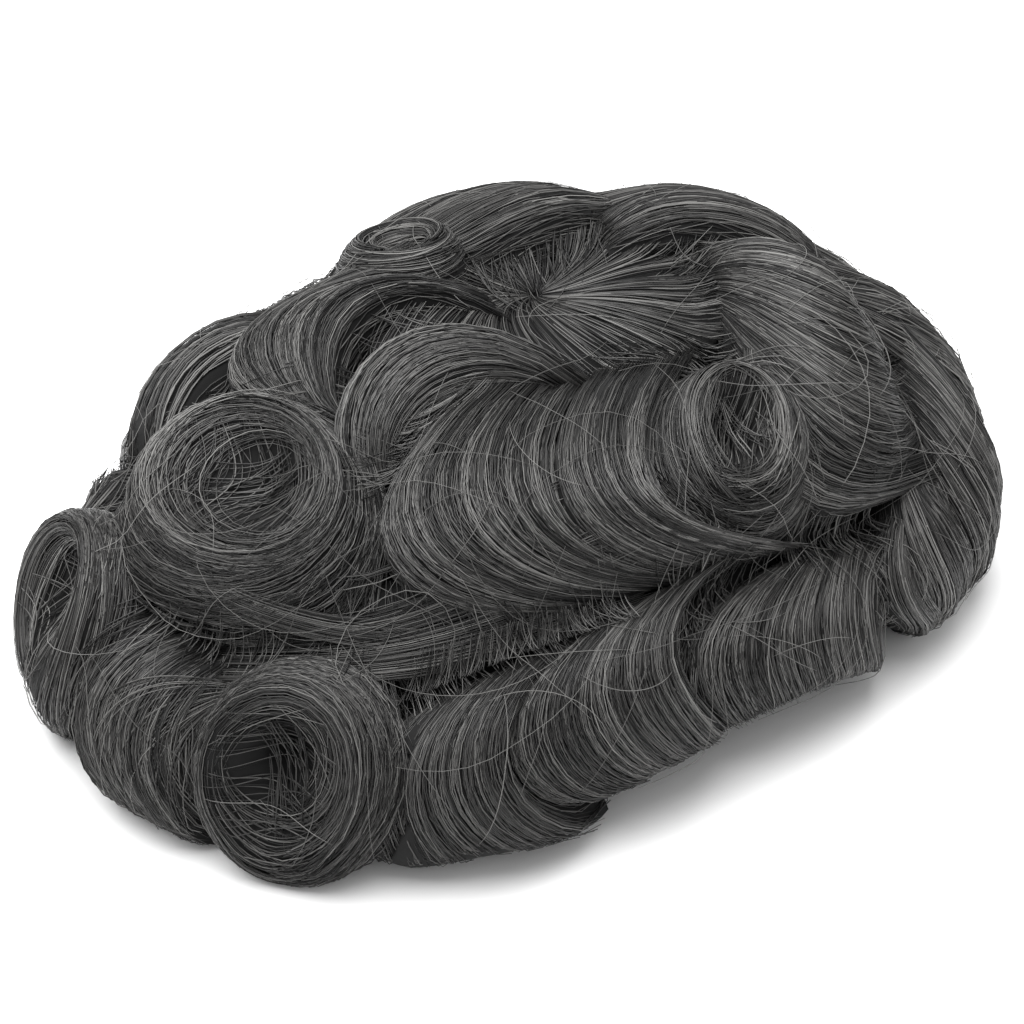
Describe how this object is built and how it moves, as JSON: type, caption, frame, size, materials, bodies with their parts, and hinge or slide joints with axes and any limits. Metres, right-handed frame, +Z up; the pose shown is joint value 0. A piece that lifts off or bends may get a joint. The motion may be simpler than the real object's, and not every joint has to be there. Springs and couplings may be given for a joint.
{
  "type": "toupee",
  "caption": "Short wavy hairpiece on a hollow oval cap, combed into rolls, curls and a crown whorl, lying on its rim.",
  "frame": {"origin": "on the table under the middle of the outline", "axes": "+Z up out of the crown, -Y towards the front hairline, +X towards the wearer's left side"},
  "size_m": [0.2098, 0.285, 0.0971],
  "materials": {
    "lace": "fine lace mesh with a thin bound rim, matte",
    "root_hair": "dark grey hair close to the cap, soft sheen",
    "hair": "salt and pepper grey hair in fine combed strands, soft sheen along the waves"
  },
  "bodies": {
    "root": {"cap": "lace", "cap_border": "lace", "root_hair": "root_hair", "crown_whorl": "hair", "parting_sweep": "hair", "front_roll": "hair", "temple_roll": "hair", "side_roll": "hair", "side_hook": "hair", "nape_fall_low": "hair", "nape_fall_high": "hair", "nape_roll_right": "hair", "nape_roll_left": "hair", "left_back_roll": "hair", "left_side_roll": "hair", "left_front_roll": "hair", "front_left_roll": "hair", "left_bump": "hair", "far_strip": "hair", "back_strip": "hair", "crown_arch": "hair", "crown_hook": "hair", "lower_arch": "hair", "top_roll_front": "hair", "top_roll_back": "hair", "crown_roll": "hair", "left_curl": "hair", "far_front_curl": "hair", "end_curl": "hair", "front_ring": "hair", "top_curl": "hair", "far_small_curl": "hair"}
  },
  "joints": []
}
